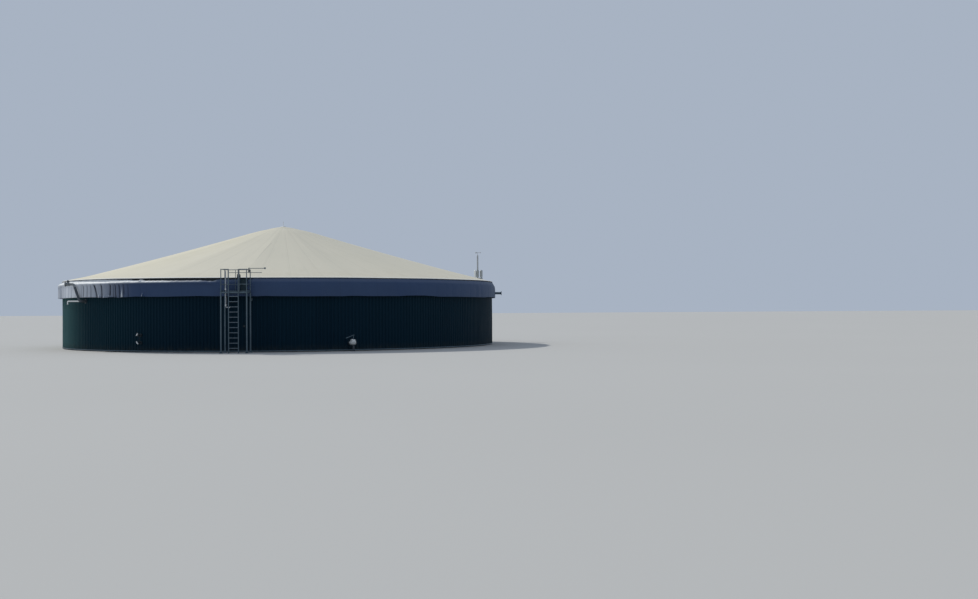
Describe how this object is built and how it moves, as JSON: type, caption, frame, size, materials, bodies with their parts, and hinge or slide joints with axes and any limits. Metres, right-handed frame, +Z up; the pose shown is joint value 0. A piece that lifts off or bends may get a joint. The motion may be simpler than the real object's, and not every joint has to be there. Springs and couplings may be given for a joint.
{
  "type": "biogas digester",
  "caption": "Round concrete biogas digester with ribbed insulated cladding, a tented gas membrane roof, a hanging weather skirt, a service platform with ladder, and gas and relief fittings.",
  "frame": {"origin": "on the tank's axis at ground level, the underside of the floor slab", "axes": "+Z up along the tank's axis, -Y towards the service platform at the front, +X to the right seen from the front"},
  "size_m": [25.58, 26.29, 7.35],
  "materials": {
    "concrete": "weathered cast concrete",
    "cladding_sheet": "dark green coated trapezoidal sheet, semi-gloss",
    "skirt_cloth": "slate blue-grey coated weather cloth, matt, creased",
    "roof_membrane": "cream coated polyester membrane, matt, faintly soiled",
    "galvanised_steel": "weathered hot-dip galvanised steel",
    "dark_steel": "dark painted steel, satin",
    "white_paint": "white painted casting, semi-gloss"
  },
  "bodies": {
    "root": {"centre_column": "galvanised_steel", "cladding_back": "cladding_sheet", "cladding_front": "cladding_sheet", "cladding_left": "cladding_sheet", "cladding_right": "cladding_sheet", "drain_valve": "white_paint", "floor_slab": "concrete", "gas_outlet": "galvanised_steel", "gas_riser": "galvanised_steel", "guard_rail_front_left": "galvanised_steel", "guard_rail_front_right": "galvanised_steel", "guard_rail_left": "galvanised_steel", "guard_rail_rear": "galvanised_steel", "guard_rail_right": "galvanised_steel", "hoist_mast": "dark_steel", "ladder": "galvanised_steel", "platform_deck": "galvanised_steel", "post_front_left": "galvanised_steel", "post_front_right": "galvanised_steel", "post_rear_left": "galvanised_steel", "post_rear_right": "galvanised_steel", "relief_valve": "galvanised_steel", "roof_apex_cap": "roof_membrane", "roof_gore_01": "roof_membrane", "roof_gore_02": "roof_membrane", "roof_gore_03": "roof_membrane", "roof_gore_04": "roof_membrane", "roof_gore_05": "roof_membrane", "roof_gore_06": "roof_membrane", "roof_gore_07": "roof_membrane", "roof_gore_08": "roof_membrane", "rope_guide_arm": "galvanised_steel", "sample_pipe": "white_paint", "sampling_cocks": "dark_steel", "service_hatch": "dark_steel", "skirt_back": "skirt_cloth", "skirt_front": "skirt_cloth", "skirt_left": "skirt_cloth", "skirt_right": "skirt_cloth", "tank_wall_01": "concrete", "tank_wall_02": "concrete", "tank_wall_03": "concrete", "tank_wall_04": "concrete", "tank_wall_05": "concrete", "tank_wall_06": "concrete", "tank_wall_07": "concrete", "tank_wall_08": "concrete", "tank_wall_09": "concrete", "tank_wall_10": "concrete", "vent_mast": "white_paint", "wall_sensor": "dark_steel"}
  },
  "joints": []
}
